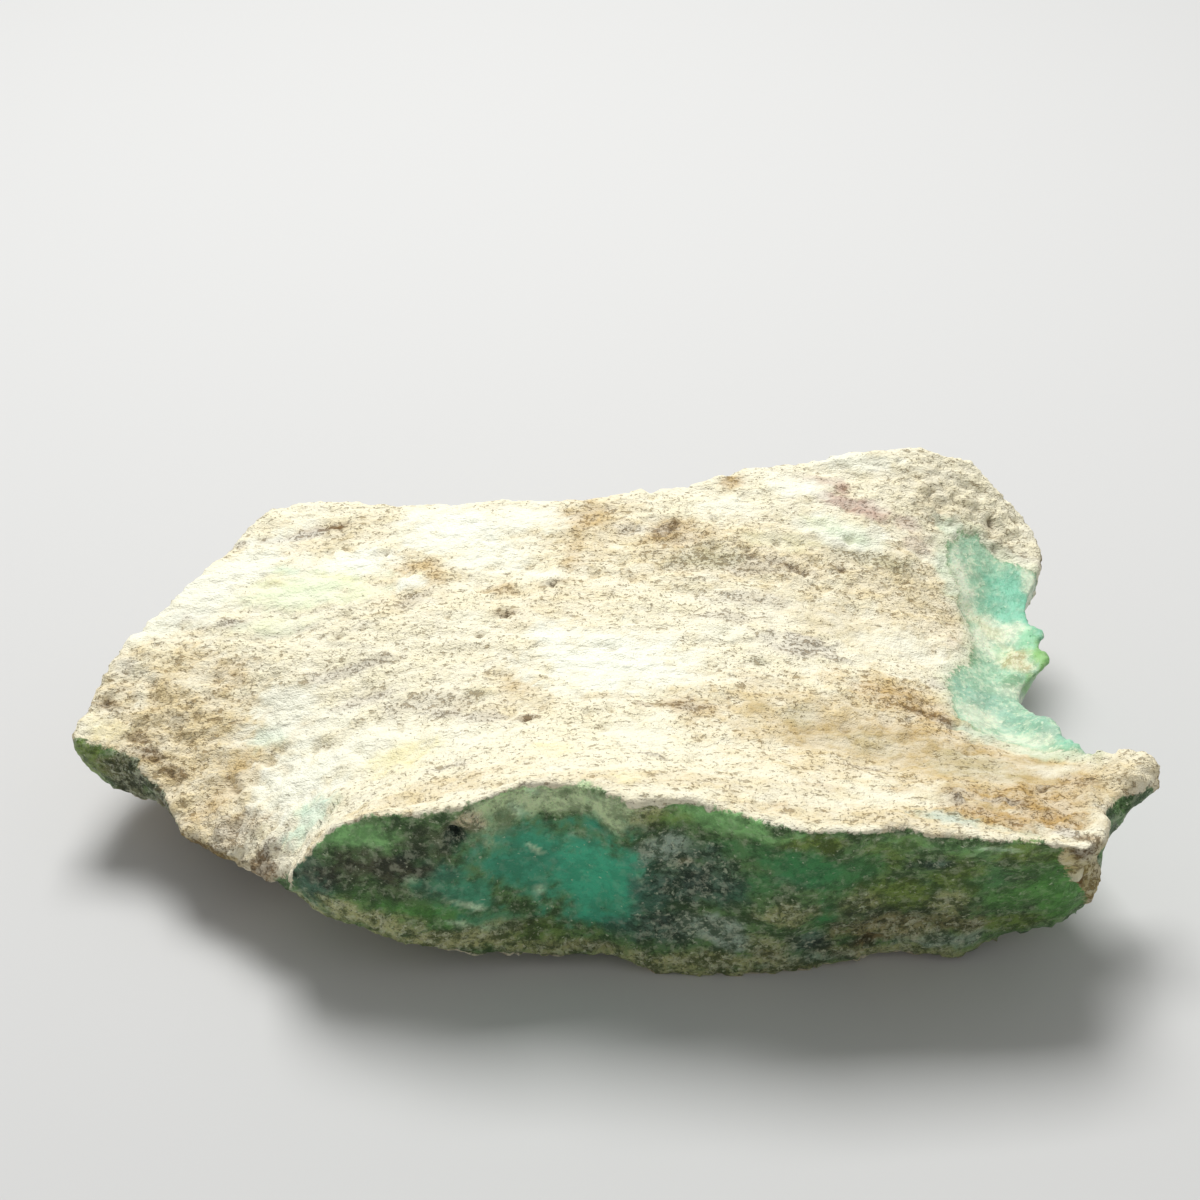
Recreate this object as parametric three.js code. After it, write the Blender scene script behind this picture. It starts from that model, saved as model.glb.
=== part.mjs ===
// A raw chrysoprase: one broken slab of green vein stone under a pale weathered crust.
// Millimetres, +Z up. It rests on z = 0, with the origin in the middle of its base. +X runs
// along the stone to the small spur at its right end, and -Y faces the long green break.
import * as THREE from "three";
import { ImprovedNoise } from "three/addons/math/ImprovedNoise.js";

const FACET = 1.8; // edge length of a facet
const FINE_FACET = 1; // the same round the spur and in the notch
const FACE_RINGS = 12; // rings of facets between an edge and the spine
const SIDE_RINGS = 7; // rings of facets down the sides
const CRUST_COLOUR = 0xd8cbab; // the pale cream of the weathered crust

// The line along the middle of the slab that the top face and the underside close in on, seen
// from above, and the share of its length where it bends towards the spur.
const SPINE = [[-17, -2], [19, -2], [25, -12.5]].map(([x, y]) => new THREE.Vector3(x, y, 0));
const BEND = 0.75;

// The stone's sides, clockwise from above, starting at the left tip. Each is a strip between
// its stretch of the upper edge, where the top face ends, and of the lower edge, where the
// underside begins. belly is how far the middle of the strip stands out, facet how long its
// facets are, and spine the stretch of the spine that the side faces.
const SIDES = {
  leftBack: {
    facet: FACET,
    spine: [0, 0],
    belly: 0.3,
    upper: [[-35.6, -4.9, 9], [-34.6, -0.7, 10], [-33.1, 3.7, 11], [-30.1, 8.2, 12], [-27.4, 12.3, 12.6],
      [-25.6, 15.4, 13]],
    lower: [[-35.2, -3.9, 5.4], [-33.2, 0.6, 5], [-31, 4.9, 5.2], [-28.6, 8.6, 5], [-25.8, 12, 4.5]],
  },
  back: {
    facet: FACET,
    spine: [0, BEND],
    belly: 0.8,
    upper: [[-24, 17.2, 13.4], [-19.4, 17.3, 13.7], [-12.6, 16.2, 14.2], [-6, 16.1, 14.8], [0.7, 16.2, 15.2],
      [7.4, 17.5, 15.6], [13.4, 18.9, 16], [20.5, 20.2, 16.4], [24.6, 20.8, 16.1]],
    lower: [[-22.8, 14.2, 4], [-16, 15.3, 3.2], [-8, 13.4, 2.4], [-1, 14.4, 2], [6, 14.6, 2.2],
      [13, 17.4, 2.8], [19.5, 17.6, 3.4], [24, 18, 3.6]],
  },
  rightBackCorner: {
    facet: FACET,
    spine: [BEND, BEND],
    belly: 0.9,
    upper: [[27.9, 20.8, 15.1], [30.3, 19.3, 12.8], [32.4, 18.2, 10.9], [32.8, 15.2, 10.2]],
    lower: [[27.2, 17.4, 4], [29.4, 15.6, 4.2], [30.4, 13.4, 4.4]],
  },
  notch: {
    facet: FINE_FACET,
    spine: [BEND, 1],
    belly: 0.1,
    upper: [[32, 12.1, 9.8], [31.2, 9.6, 9.5], [31.9, 7, 9.4], [31.9, 4.5, 9.2], [31.2, 2.9, 9],
      [29.1, 0.5, 8.6], [29.9, -1.5, 9.2], [30.9, -5, 10.4], [31.8, -8.6, 11.6]],
    lower: [[29.9, 11, 4.5], [29.1, 7, 4.3], [28.9, 3.4, 4.2], [27.4, -0.2, 4], [28.4, -4, 4],
      [30.2, -7.4, 4.8], [31.2, -9.4, 5.8]],
  },
  spur: {
    facet: FINE_FACET,
    spine: [1, 1],
    belly: 0.2,
    upper: [[33.3, -9.8, 12.2], [34.7, -9.9, 12.4], [35.7, -10.5, 12], [36.2, -11.6, 11.3],
      [35.6, -12.4, 10.6], [34.4, -13.2, 10.5], [33.1, -14.5, 11], [31.9, -15.4, 11.7]],
    lower: [[33, -10.8, 8.2], [34.4, -11, 9.1], [35.1, -11.5, 9.4], [34.9, -12.2, 9.4], [34.4, -12.8, 9.2],
      [33.5, -13.6, 8.8], [32.5, -14.3, 8]],
  },
  front: {
    facet: FACET,
    spine: [1, 0],
    belly: 0.35,
    upper: [[31.1, -18.2, 12.8], [30.1, -20.1, 13.3], [27.8, -20.6, 13.9], [24.8, -20.7, 14.2],
      [21.7, -20.8, 14.5], [17.5, -20.3, 14.9], [14.2, -21, 15.1], [10.5, -20.8, 15.4], [7.2, -19.5, 15.8],
      [4.2, -18.5, 16], [1.9, -19.2, 16.1], [-0.1, -18.3, 16.2], [-2.3, -17.5, 16.3], [-5.6, -17.8, 16],
      [-7.3, -18.5, 15.6], [-9.1, -19, 15.2], [-11.9, -18.5, 14.5], [-15.5, -17.8, 13.4],
      [-17.1, -18.1, 12.6], [-18.2, -18.2, 11], [-19.7, -17.6, 8.5]],
    lower: [[31.9, -15.2, 4], [30.1, -16, 2.3], [26.3, -16.1, 1.3], [23.6, -16.8, 0.5], [19.6, -16.6, 1],
      [15, -17.6, 0.3], [10.4, -18.2, 0], [6.5, -17.9, 0], [3.2, -18, 0.3], [0.3, -17.6, 1.5],
      [-2.7, -17.5, 1.2], [-5.9, -17.8, 1.5], [-9.5, -18.1, 2], [-13, -18.2, 3], [-17.5, -17.6, 4.3]],
  },
  leftFront: {
    facet: FACET,
    spine: [0, 0],
    belly: 0.1,
    upper: [[-20.2, -16.7, 6.2], [-22.7, -14.5, 6.2], [-26.9, -11.2, 6], [-28.2, -10.3, 6], [-29.4, -8.3, 6.8],
      [-31.2, -6.8, 7.5], [-31.3, -6, 8.3], [-33.1, -5.8, 8.6]],
    lower: [[-19.8, -15.3, 4.8], [-22.5, -12.9, 4.6], [-26.5, -9.6, 4.5], [-30.5, -6, 4.4], [-32.6, -5.3, 4.6]],
  },
};

// Broad swells (+) and hollows (-) of the two faces: middle, half-widths along X and Y, rise.
const TOP_RELIEF = [
  { at: [13, -10], size: [15, 3.6], rise: -0.9 }, // the tan trough behind the front rim
  { at: [-14, 3], size: [12, 7], rise: 0.7 },
  { at: [18, 13], size: [9, 5], rise: 0.8 },
  { at: [2, 2], size: [9, 4], rise: 0.5 },
  { at: [-25, -5], size: [6, 4], rise: -0.8 },
  { at: [28.6, 7.5], size: [3.4, 8], rise: -1.4 }, // the fresh scoop beside the notch
  { at: [28, -4.5], size: [3, 3], rise: -0.9 },
];
const UNDER_RELIEF = [
  { at: [4, -3], size: [23, 13], rise: -5 }, // the keel that it lies on
  { at: [-22, 4], size: [7, 6], rise: -0.8 },
  { at: [22, 9], size: [7, 6], rise: -1 },
];
const RELIEF_MARGIN = 3; // the relief fades out over this distance from the edge
const GRAIN = [ // unevenness of the broken surface: width of the lumps, and their height
  { width: 9, height: 0.3 },
  { width: 4, height: 0.25 },
];

const CURVE_STEPS = 12; // points read from an edge's curve between two corners
const RING_SAMPLES = 240; // points that measure a ring before it is divided
const FEWEST_FACETS = 12; // facets in the shortest ring
const TANGENT_STEP = 0.004; // share of the way round, for the direction of the edge

const sides = Object.values(SIDES);

// A closed smooth curve through every side's corners, cut into one fine polyline for each side.
function stretches(edge) {
  const corners = sides.flatMap((side) => side[edge]).map((p) => new THREE.Vector3(...p));
  const curve = new THREE.CatmullRomCurve3(corners, true, "centripetal");
  let first = 0;
  return sides.map((side) => {
    const line = [];
    for (let i = 0; i <= side[edge].length * CURVE_STEPS; i++) {
      line.push(curve.getPoint(((first + i / CURVE_STEPS) / corners.length) % 1));
    }
    first += side[edge].length;
    return line;
  });
}

function lengthOf(line) {
  return line.slice(1).reduce((sum, p, i) => sum + p.distanceTo(line[i]), 0);
}

// The point at a share of a polyline's length.
function along(line, share) {
  let left = share * lengthOf(line);
  for (let i = 1; i < line.length; i++) {
    const span = line[i].distanceTo(line[i - 1]);
    if (left <= span) return line[i - 1].clone().lerp(line[i], span ? left / span : 0);
    left -= span;
  }
  return line.at(-1).clone();
}

const upper = stretches("upper");
const lower = stretches("lower");
const ends = upper.map(lengthOf).reduce((sums, l) => [...sums, sums.at(-1) + l], [0]);

// The side that the share u of the way round the stone falls in, and the share of that side.
function placeRound(u) {
  const walked = u * ends.at(-1);
  const side = Math.min(sides.length - 1, ends.findIndex((end) => end > walked) - 1);
  return [side, (walked - ends[side]) / (ends[side + 1] - ends[side])];
}

function onEdge(edge, u) {
  const [side, share] = placeRound(u);
  return along(edge[side], share);
}

// A point of the strip between the two edges, down from 0 at the upper one to 1 at the lower.
function onSide(u, down) {
  const [side, share] = placeRound(u);
  const point = onEdge(upper, u).lerp(onEdge(lower, u), down);
  const [next, last] = [TANGENT_STEP, 1 - TANGENT_STEP].map((step) => onEdge(upper, (u + step) % 1));
  const ahead = next.sub(last);
  const outward = new THREE.Vector3(-ahead.y, ahead.x, 0).normalize();
  const fade = Math.sqrt(Math.sin(Math.PI * share)); // the belly fades where two sides meet
  return point.addScaledVector(outward, sides[side].belly * fade * Math.sin(Math.PI * down));
}

// A point of a face that closes in from its edge (0) to the spine (1).
function onFace(edge, u, inward) {
  const [side, share] = placeRound(u);
  const [from, to] = sides[side].spine;
  const heart = along(SPINE, THREE.MathUtils.lerp(from, to, share));
  return onEdge(edge, u).lerp(heart, inward);
}

// A ring of points, a facet apart. Each keeps its share u of the way round.
function ring(place) {
  const walked = [0]; // in facets
  for (let i = 0; i < RING_SAMPLES; i++) {
    const [u, next] = [i / RING_SAMPLES, ((i + 1) % RING_SAMPLES) / RING_SAMPLES];
    const [side] = placeRound(u);
    walked.push(walked.at(-1) + place(u).distanceTo(place(next)) / sides[side].facet);
  }
  const count = Math.max(FEWEST_FACETS, Math.round(walked.at(-1)));
  let passed = 0;
  return Array.from({ length: count }, (_, i) => {
    const goal = (walked.at(-1) * i) / count;
    while (walked[passed + 1] < goal) passed += 1;
    const rest = (goal - walked[passed]) / (walked[passed + 1] - walked[passed]);
    const u = (passed + rest) / RING_SAMPLES;
    return Object.assign(place(u), { u });
  });
}

// The rings, from the middle of the top face out, down the sides and in under the stone.
const rings = [];
for (let i = FACE_RINGS - 1; i > 0; i--) {
  rings.push(ring((u) => onFace(upper, u, i / FACE_RINGS)));
}
const upperRing = rings.length;
for (let i = 0; i <= SIDE_RINGS; i++) {
  rings.push(ring((u) => onSide(u, i / SIDE_RINGS)));
}
const lowerRing = rings.length - 1;
for (let i = 1; i < FACE_RINGS; i++) {
  rings.push(ring((u) => onFace(lower, u, i / FACE_RINGS)));
}
const points = rings.flat();
const starts = rings.reduce((sums, r) => [...sums, sums.at(-1) + r.length], [0]);

// Triangles between two lines of points. Each takes the next point of the line that lags, as
// its places say.
function zip(a, b, placesA, placesB) {
  const triangles = [];
  let [i, j] = [0, 0];
  while (i < a.length - 1 || j < b.length - 1) {
    const takesA = j === b.length - 1 || (i < a.length - 1 && placesA[i + 1] <= placesB[j + 1]);
    triangles.push([b[j], a[i], takesA ? a[i + 1] : b[j + 1]]);
    if (takesA) i += 1;
    else j += 1;
  }
  return triangles;
}

// The numbers of a ring's points, and back to the first.
function roundRing(index) {
  const numbers = rings[index].map((_, i) => starts[index] + i);
  return [...numbers, numbers[0]];
}

function zipRings(index) {
  const places = [index, index + 1].map((i) => [...rings[i].map((p) => p.u), 1]);
  return zip(roundRing(index), roundRing(index + 1), ...places);
}

// The innermost ring of a face, closed like a ladder between its back and its front half.
function cap(index) {
  const numbers = roundRing(index).slice(0, -1);
  const xs = rings[index].map((p) => p.x);
  const [left, right] = [Math.min, Math.max].map((end) => xs.indexOf(end(...xs)));
  const size = numbers.length;
  const back = Array.from({ length: ((right - left + size) % size) + 1 }, (_, i) => (left + i) % size);
  const front = Array.from({ length: size - back.length + 2 }, (_, i) => (left - i + size) % size);
  const ladder = zip(back, front, ...[back, front].map((half) => half.map((i) => xs[i])));
  return ladder.map((corners) => corners.map((i) => numbers[i]));
}

// The two halves share their ends, where a rung of the ladder has no width.
const isWhole = ([a, b, c]) => a !== b && b !== c && c !== a;
const strips = rings.slice(1).flatMap((_, i) => zipRings(i));
const topCap = cap(0).filter(isWhole).map(([a, b, c]) => [b, a, c]);
const underCap = cap(rings.length - 1).filter(isWhole);
const triangles = [...strips, ...topCap, ...underCap];

// Lays a face over its edge like a skin: a point's height is the edge's, where the near points
// of the edge weigh most. The swells and hollows are added to it, and fade out at the edge.
function drape(from, to, edgeRing, relief) {
  for (let v = from; v < to; v++) {
    const p = points[v];
    const gaps = edgeRing.map((q) => Math.hypot(p.x - q.x, p.y - q.y));
    const weights = gaps.map((gap) => 1 / gap ** 2);
    const weight = weights.reduce((sum, w) => sum + w, 0);
    p.z = edgeRing.reduce((sum, q, i) => sum + q.z * weights[i], 0) / weight;
    const fade = THREE.MathUtils.smoothstep(Math.min(...gaps), 0, RELIEF_MARGIN);
    for (const { at, size, rise } of relief) {
      const away = ((p.x - at[0]) / size[0]) ** 2 + ((p.y - at[1]) / size[1]) ** 2;
      p.z += rise * fade * Math.exp(-away);
    }
  }
}

drape(0, starts[upperRing], rings[upperRing], TOP_RELIEF);
drape(starts[lowerRing + 1], points.length, rings[lowerRing], UNDER_RELIEF);

function solid() {
  const geometry = new THREE.BufferGeometry().setFromPoints(points);
  geometry.setIndex(triangles.flat());
  geometry.computeVertexNormals();
  return geometry;
}

// Roughens the whole surface, and planes off what would reach below the table.
function roughen() {
  const normals = solid().getAttribute("normal");
  const noise = new ImprovedNoise();
  points.forEach((p, v) => {
    const normal = new THREE.Vector3().fromBufferAttribute(normals, v);
    const lump = GRAIN.reduce((sum, { width, height }, i) => (
      sum + height * noise.noise(p.x / width, p.y / width, p.z / width + i)), 0);
    p.addScaledVector(normal, lump);
    p.z = Math.max(p.z, 0);
  });
}
roughen();

const geometry = solid();
geometry.computeBoundingBox();
const middle = geometry.boundingBox.getCenter(new THREE.Vector3());
geometry.translate(-middle.x, -middle.y, -geometry.boundingBox.min.z);

const crust = new THREE.MeshStandardMaterial({ color: CRUST_COLOUR, roughness: 0.9, metalness: 0 });
const stone = new THREE.Mesh(geometry, crust);
stone.name = "chrysoprase_stone";

const chrysoprase = new THREE.Group();
chrysoprase.add(stone);

export default chrysoprase;
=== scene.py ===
"""A raw chrysoprase: the fine surface and the finish of one broken stone.

The stone starts as a fine, smooth copy of the CAD solid. Its relief, its colours and how flecked or
gritty each place is are worked out for each vertex, and the material adds the finest pattern.

Lengths are in millimetres, in the frame of the CAD model: X to the right, Y to the back and Z up.
They become metres when they are handed to Blender. Colours are written as they should look under
the studio light, as 0xRRGGBB.
"""

import itertools
import math

import bpy
import numpy as np
from mathutils import Matrix, Vector


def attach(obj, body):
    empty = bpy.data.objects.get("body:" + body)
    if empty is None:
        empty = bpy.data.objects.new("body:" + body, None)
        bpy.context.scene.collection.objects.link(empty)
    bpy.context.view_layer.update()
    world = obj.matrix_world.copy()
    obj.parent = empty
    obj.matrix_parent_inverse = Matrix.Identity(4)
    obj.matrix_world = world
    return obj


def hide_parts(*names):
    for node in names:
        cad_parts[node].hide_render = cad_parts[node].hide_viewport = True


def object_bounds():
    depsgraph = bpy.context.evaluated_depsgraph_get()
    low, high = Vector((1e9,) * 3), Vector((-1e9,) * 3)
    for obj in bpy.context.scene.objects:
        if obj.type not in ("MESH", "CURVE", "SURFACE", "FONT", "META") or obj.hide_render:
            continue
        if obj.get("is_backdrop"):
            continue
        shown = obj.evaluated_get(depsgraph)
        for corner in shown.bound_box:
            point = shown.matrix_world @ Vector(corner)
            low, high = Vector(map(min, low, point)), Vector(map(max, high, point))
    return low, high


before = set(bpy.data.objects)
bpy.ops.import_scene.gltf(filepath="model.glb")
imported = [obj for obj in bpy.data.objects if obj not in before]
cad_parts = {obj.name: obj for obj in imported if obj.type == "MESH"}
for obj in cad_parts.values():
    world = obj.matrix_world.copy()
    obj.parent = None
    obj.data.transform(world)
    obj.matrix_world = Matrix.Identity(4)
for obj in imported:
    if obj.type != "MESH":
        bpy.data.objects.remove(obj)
cad_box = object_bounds()

STONE = "chrysoprase_stone"
MM = 0.001  # one millimetre in metres

# The camera, from the outline of the stone in the 1200 x 1200 photograph.
CAMERA_PLACE = (-0.33, -121.96, 105.95)
CAMERA_LOOKS_DOWN = 36  # degrees below the horizon
CAMERA_ANGLE = 30  # degrees across the square frame
CAMERA_NEAREST = 5
SENSOR = 36

# The studio: an even white sky, one soft key light behind the stone and a plain floor.
SKY_STRENGTH = 0.37
KEY_PLACE = (-30, 160, 360)
KEY_AIMS_AT = (0, 0, 8)
KEY_SIZE = 180
KEY_POWER = 1.5  # watts
FLOOR_SIZE = 3000
FLOOR_COLOUR = (0.62, 0.62, 0.61, 1)
FLOOR_ROUGHNESS = 0.8

# The mesh: the gap that is welded shut, its cell size, and how far the facets of the CAD solid are
# smoothed away. Each round shrinks the stone a little and swells it back.
WELD_GAP = 0.001
CELL = 0.288
SMOOTHING_ROUNDS = 10
SHRINK_STEPS = 2
SHRINK_SHARE = 0.5
SWELL_SHARE = -0.9

# The upper edge of the front break, from its left end to the crusted corner at its right.
FRONT_EDGE = [
    (-20.0, -17.3, 7.6), (-19.8, -17.0, 8.3), (-18.4, -18.0, 11.0), (-17.4, -18.1, 12.6),
    (-16.2, -17.9, 13.3), (-14.7, -17.8, 13.6), (-12.2, -18.4, 14.3), (-9.4, -18.9, 15.1),
    (-7.5, -18.5, 15.6), (-5.8, -18.0, 16.0), (-3.8, -17.8, 16.3), (-1.3, -18.0, 16.3),
    (0.7, -18.95, 16.0), (2.1, -19.3, 15.9), (3.9, -19.0, 15.9), (6.9, -19.5, 15.8),
    (10.2, -20.7, 15.4), (13.9, -20.9, 15.1), (18.5, -20.4, 14.8), (23.0, -20.7, 14.4),
    (27.0, -20.3, 13.8), (27.8, -20.3, 13.3), (28.6, -19.6, 11.2), (29.5, -18.6, 8.8),
    (30.3, -17.6, 7.2), (31.1, -16.4, 5.4), (32, -15, 3.4),
]
# Where, along X, the crust stops at this edge and runs down the corner instead.
FRONT_END = 27.8
# The edges of the left tip's own small break, and of the one under the spur.
TIP_EDGE = [
    (-35.8, -5.0, 9.1), (-33.3, -5.1, 8.7), (-31.6, -5.8, 8.2), (-31.5, -6.6, 7.4),
    (-29.9, -7.4, 7.2), (-29.5, -8.4, 6.8), (-28.4, -10.3, 6.1), (-27.6, -11.6, 5.4),
]
SPUR_EDGE = [
    (31.5, -16.0, 12), (32.0, -15.0, 12), (32.9, -14.0, 11.7), (34.3, -12.8, 11.2),
    (35.4, -11.9, 11.2),
]
# How much of the drop below such an edge counts as distance from it.
DROP_SHARE = 0.7
# The ledge where the crust ends at the fresh scoop beside the notch, seen from above.
LEDGE = [
    (32.8, 13.0), (31.2, 13.7), (29.3, 14.6), (27.6, 15.7), (26.2, 15.2), (25.3, 13.8), (25.0, 12.0),
    (25.5, 10.4), (25.4, 8.6), (26.3, 7.8), (26.4, 5.8), (25.4, 3.0), (23.8, 0.8), (23.5, -1.6),
    (23.8, -4.2), (25.2, -5.6), (28.6, -7.4), (32.0, -9.5),
]


def linear(colour):
    """A 0xRRGGBB colour as the linear red, green and blue that shaders take."""
    shares = np.array([(colour >> shift & 255) / 255 for shift in (16, 8, 0)])
    return np.where(shares <= 0.04045, shares / 12.92, ((shares + 0.055) / 1.055) ** 2.4)


def smoothstep(low, high, value):
    """0 up to low, 1 from high on, and an even curve between them. low may be the larger one."""
    share = np.clip((value - low) / (high - low), 0, 1)
    return share * share * (3 - 2 * share)


def mix(a, b, share):
    return a + (b - a) * share


# The noise is made on a lattice, with a fixed random direction for each of its cells. Every pattern
# has a seed of its own, which moves the lattice on by so many steps.
LATTICE_HASH = np.array([73856093, 19349663, 83492791])
DIRECTIONS = np.random.default_rng(7).normal(size=(4096, 3))
DIRECTIONS /= np.linalg.norm(DIRECTIONS, axis=1)[:, None]
SEED_STEP = 11.3
NOISE_HEIGHT = 1.6


def direction_of(cell):
    return DIRECTIONS[(cell * LATTICE_HASH).sum(axis=1) % len(DIRECTIONS)]


def noise(points, size, seed=0):
    """Gradient noise from about -1 to 1. size is the width of its lumps, one number or three."""
    scaled = points / size + SEED_STEP * seed
    cell = np.floor(scaled).astype(np.int64)
    local = scaled - cell
    fade = local ** 3 * (local * (local * 6 - 15) + 10)
    total = np.zeros(len(points))
    for corner in itertools.product((0, 1), repeat=3):
        weight = np.where(corner, fade, 1 - fade).prod(axis=1)
        total += weight * ((local - corner) * direction_of(cell + corner)).sum(axis=1)
    return NOISE_HEIGHT * total


def rough(points, size, seed=0, octaves=3, gain=0.55):
    """Noise on several scales, each half as wide as the last."""
    layers = [gain ** i * noise(points, np.asarray(size) / 2 ** i, seed + i) for i in range(octaves)]
    return sum(layers) / sum(gain ** i for i in range(octaves))


def beside(points, line):
    """How far the points lie to the left of a line, seen from above, how far they lie past
    its ends, and the line's height nearest to them."""
    line = np.array(line, float)
    best = np.full(len(points), np.inf)
    left = np.zeros(len(points))
    past = np.zeros(len(points))
    height = np.zeros(len(points))
    last = len(line) - 2
    for i, (a, b) in enumerate(zip(line[:-1], line[1:])):
        step = b - a
        length = np.hypot(step[0], step[1])
        share = (points[:, :2] - a[:2]) @ step[:2] / length ** 2
        inside = np.clip(share, 0, 1)
        gap = np.linalg.norm(points[:, :2] - a[:2] - inside[:, None] * step[:2], axis=1)
        turn = step[0] * (points[:, 1] - a[1]) - step[1] * (points[:, 0] - a[0])
        ahead = np.where(i == last, share - 1, -1)
        behind = np.where(i == 0, -share, -1)
        nearer = gap < best
        best = np.where(nearer, gap, best)
        left = np.where(nearer, np.sign(turn) * gap, left)
        past = np.where(nearer, length * np.maximum(ahead, behind), past)
        if line.shape[1] == 3:
            height = np.where(nearer, a[2] + inside * step[2], height)
    return left, past, height


def below(points, edge):
    """How far the points lie below an edge, on the face that falls away from it."""
    left, past, height = beside(points, edge)
    return np.minimum((height - points[:, 2] - left) * DROP_SHARE, -past)


def smooth_copy():
    """A fine even mesh over the CAD solid, in millimetres, as an object of its own."""
    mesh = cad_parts[STONE].data.copy()
    mesh.transform(Matrix.Scale(1 / MM, 4))
    stone = bpy.data.objects.new("chrysoprase", mesh)
    bpy.context.scene.collection.objects.link(stone)
    weld = stone.modifiers.new("weld", "WELD")
    weld.merge_threshold = WELD_GAP
    remesh = stone.modifiers.new("remesh", "REMESH")
    remesh.mode = "VOXEL"
    remesh.voxel_size = CELL
    evaluated = stone.evaluated_get(bpy.context.evaluated_depsgraph_get())
    stone.data = bpy.data.meshes.new_from_object(evaluated)
    stone.modifiers.clear()
    return stone


def read_points(mesh):
    points = np.zeros(len(mesh.vertices) * 3)
    mesh.vertices.foreach_get("co", points)
    return points.reshape(-1, 3)


def read_normals(mesh):
    normals = np.zeros(len(mesh.vertices) * 3, np.float32)
    mesh.vertex_normals.foreach_get("vector", normals)
    return normals.reshape(-1, 3).astype(float)


def read_edges(mesh):
    """The two ends of each edge, as two rows of vertex numbers."""
    edges = np.zeros(len(mesh.edges) * 2, np.int32)
    mesh.edges.foreach_get("vertices", edges)
    return edges.reshape(-1, 2).T


def write_points(mesh, points):
    mesh.vertices.foreach_set("co", points.ravel())
    mesh.update()


def relax(values, edges, steps, share=SHRINK_SHARE):
    """Moves each value towards the mean of its neighbours' values."""
    a, b = edges
    count = np.bincount(a, minlength=len(values)) + np.bincount(b, minlength=len(values))
    columns = values.reshape(len(values), -1).T.copy()
    for _ in range(steps):
        for column in columns:
            total = np.bincount(a, column[b], len(column)) + np.bincount(b, column[a], len(column))
            column += share * (total / count - column)
    return columns.T.reshape(values.shape)


def smoothed(points, edges):
    """The points with the facets of the CAD solid smoothed away, without shrinking the stone."""
    for _ in range(SMOOTHING_ROUNDS):
        points = relax(relax(points, edges, SHRINK_STEPS), edges, 1, SWELL_SHARE)
    return points


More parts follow.
